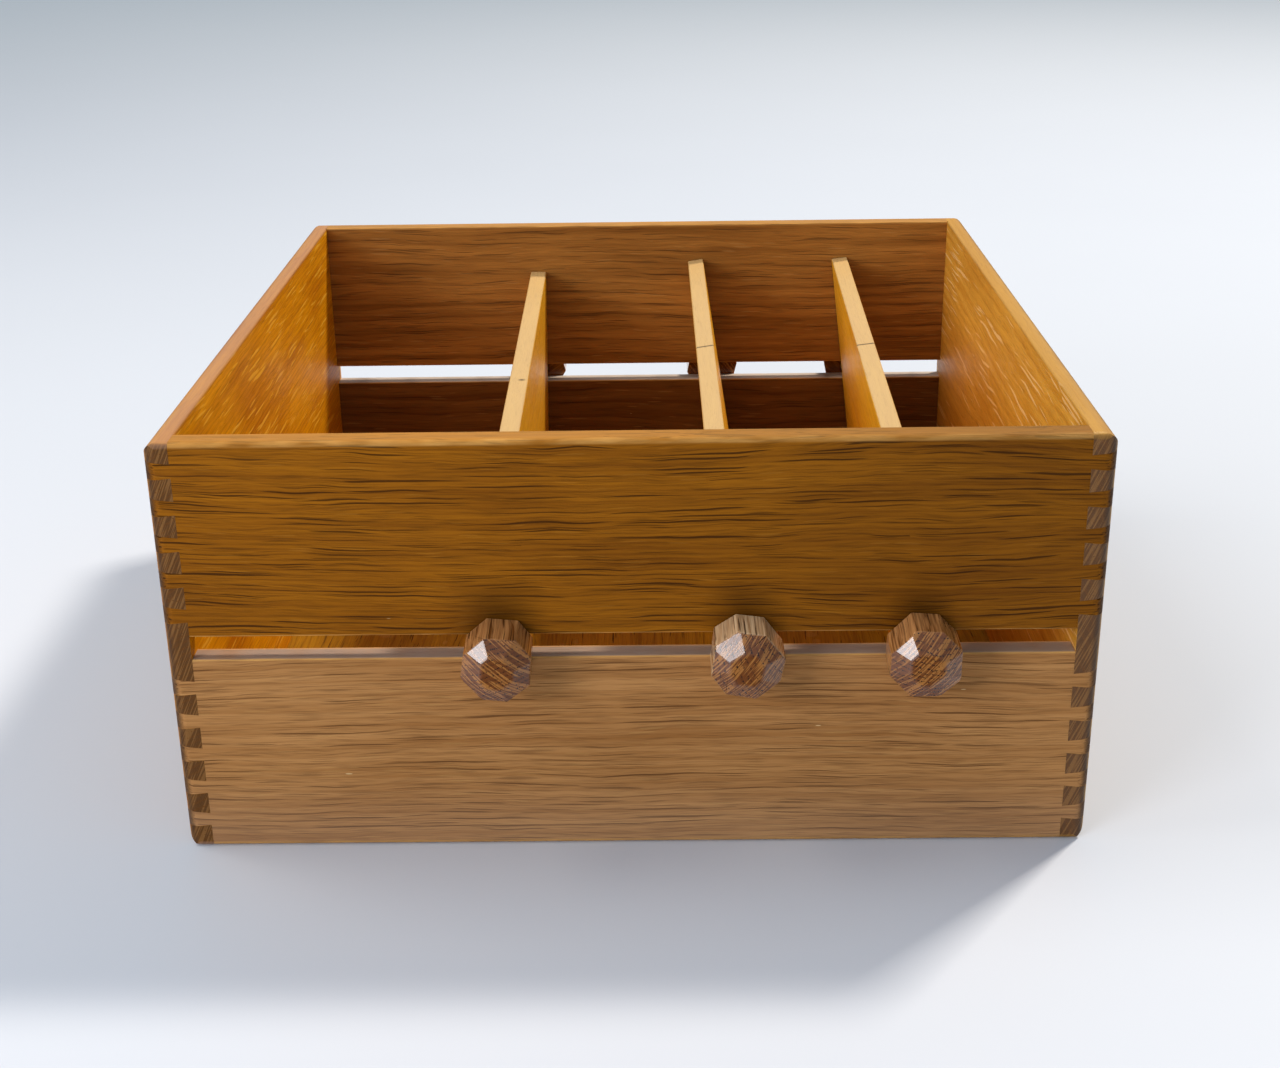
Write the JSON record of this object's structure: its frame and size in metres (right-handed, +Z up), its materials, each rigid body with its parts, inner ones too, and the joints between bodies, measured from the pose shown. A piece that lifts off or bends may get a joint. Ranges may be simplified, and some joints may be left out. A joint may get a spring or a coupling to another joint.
{
  "type": "document organizer box",
  "caption": "Open dovetailed oak box for standing papers, slotted front and back, with leaning dividers that slide along the slots and are clamped by carved octagonal knobs.",
  "frame": {"origin": "on the floor under the middle of the box", "axes": "+Z up, +X to the right seen from the front, +Y from front to back along the knobs' studs"},
  "size_m": [0.34, 0.3876, 0.1625],
  "materials": {
    "front_boards": "oak with satin clear lacquer",
    "back_boards": "oak with satin clear lacquer",
    "sides": "quarter-sawn oak with satin clear lacquer",
    "bottom": "oak with satin clear lacquer",
    "dividers": "oak with satin clear lacquer",
    "studs": "plain threaded steel",
    "inserts": "plain turned brass",
    "knobs": "carved oak with gloss clear lacquer"
  },
  "bodies": {
    "box": {"front_upper_board": "front_boards", "front_lower_board": "front_boards", "back_upper_board": "back_boards", "back_lower_board": "back_boards", "left_side": "sides", "right_side": "sides", "bottom_panel": "bottom"},
    "left_studs": {"left_front_stud": "studs", "left_back_stud": "studs"},
    "left_divider": {"left_divider": "dividers"},
    "left_front_insert": {"left_front_insert": "inserts"},
    "left_front_knob": {"left_front_knob": "knobs"},
    "left_back_insert": {"left_back_insert": "inserts"},
    "left_back_knob": {"left_back_knob": "knobs"},
    "middle_studs": {"middle_front_stud": "studs", "middle_back_stud": "studs"},
    "middle_divider": {"middle_divider": "dividers"},
    "middle_front_insert": {"middle_front_insert": "inserts"},
    "middle_front_knob": {"middle_front_knob": "knobs"},
    "middle_back_insert": {"middle_back_insert": "inserts"},
    "middle_back_knob": {"middle_back_knob": "knobs"},
    "right_studs": {"right_front_stud": "studs", "right_back_stud": "studs"},
    "right_divider": {"right_divider": "dividers"},
    "right_front_insert": {"right_front_insert": "inserts"},
    "right_front_knob": {"right_front_knob": "knobs"},
    "right_back_insert": {"right_back_insert": "inserts"},
    "right_back_knob": {"right_back_knob": "knobs"}
  },
  "joints": [
    {"name": "left_slide", "type": "slide", "parent": "box", "child": "left_studs", "axis": [1, 0, 0], "range_m": [-0.09, 0.0255]},
    {"name": "left_lean", "type": "hinge", "parent": "left_studs", "child": "left_divider", "pos_m": [-0.0503, 0, 0.0825], "axis": [-0.0122, 0.9999, 0], "range_deg": [-13, 11]},
    {"name": "left_front_travel", "type": "slide", "parent": "left_studs", "child": "left_front_insert", "axis": [0.0122, -0.9999, 0], "range_m": [0, 0.003]},
    {"name": "left_front_turn", "type": "hinge", "parent": "left_front_insert", "child": "left_front_knob", "pos_m": [-0.0503, 0, 0.0825], "axis": [0.0122, -0.9999, 0], "range_deg": [0, 1350.5]},
    {"name": "left_back_travel", "type": "slide", "parent": "left_studs", "child": "left_back_insert", "axis": [-0.0122, 0.9999, 0], "range_m": [0, 0.003]},
    {"name": "left_back_turn", "type": "hinge", "parent": "left_back_insert", "child": "left_back_knob", "pos_m": [-0.0503, 0, 0.0825], "axis": [-0.0122, 0.9999, 0], "range_deg": [0, 1350.5]},
    {"name": "middle_slide", "type": "slide", "parent": "box", "child": "middle_studs", "axis": [1, 0, 0], "range_m": [-0.0265, 0.0145]},
    {"name": "middle_lean", "type": "hinge", "parent": "middle_studs", "child": "middle_divider", "pos_m": [0.0402, 0, 0.0825], "axis": [-0.0035, 1, 0], "range_deg": [-3.5, 20.5]},
    {"name": "middle_front_travel", "type": "slide", "parent": "middle_studs", "child": "middle_front_insert", "axis": [0.0035, -1, 0], "range_m": [0, 0.003]},
    {"name": "middle_front_turn", "type": "hinge", "parent": "middle_front_insert", "child": "middle_front_knob", "pos_m": [0.0402, 0, 0.0825], "axis": [0.0035, -1, 0], "range_deg": [0, 1350.5]},
    {"name": "middle_back_travel", "type": "slide", "parent": "middle_studs", "child": "middle_back_insert", "axis": [-0.0035, 1, 0], "range_m": [0, 0.003]},
    {"name": "middle_back_turn", "type": "hinge", "parent": "middle_back_insert", "child": "middle_back_knob", "pos_m": [0.0402, 0, 0.0825], "axis": [-0.0035, 1, 0], "range_deg": [0, 1350.5]},
    {"name": "right_slide", "type": "slide", "parent": "box", "child": "right_studs", "axis": [1, 0, 0], "range_m": [-0.0145, 0.029]},
    {"name": "right_lean", "type": "hinge", "parent": "right_studs", "child": "right_divider", "pos_m": [0.1087, 0, 0.0825], "axis": [0.0236, 0.9997, 0], "range_deg": [-5.3, 18.7]},
    {"name": "right_front_travel", "type": "slide", "parent": "right_studs", "child": "right_front_insert", "axis": [-0.0236, -0.9997, 0], "range_m": [0, 0.003]},
    {"name": "right_front_turn", "type": "hinge", "parent": "right_front_insert", "child": "right_front_knob", "pos_m": [0.1087, 0, 0.0825], "axis": [-0.0236, -0.9997, 0], "range_deg": [0, 1350.5]},
    {"name": "right_back_travel", "type": "slide", "parent": "right_studs", "child": "right_back_insert", "axis": [0.0236, 0.9997, 0], "range_m": [0, 0.003]},
    {"name": "right_back_turn", "type": "hinge", "parent": "right_back_insert", "child": "right_back_knob", "pos_m": [0.1087, 0, 0.0825], "axis": [0.0236, 0.9997, 0], "range_deg": [0, 1350.5]}
  ],
  "couplings": [
    {"joint": "left_front_turn", "follows": "left_front_travel", "rad_per_m": 7854},
    {"joint": "left_back_turn", "follows": "left_back_travel", "rad_per_m": 7854},
    {"joint": "middle_front_turn", "follows": "middle_front_travel", "rad_per_m": 7854},
    {"joint": "middle_back_turn", "follows": "middle_back_travel", "rad_per_m": 7854},
    {"joint": "right_front_turn", "follows": "right_front_travel", "rad_per_m": 7854},
    {"joint": "right_back_turn", "follows": "right_back_travel", "rad_per_m": 7854}
  ]
}
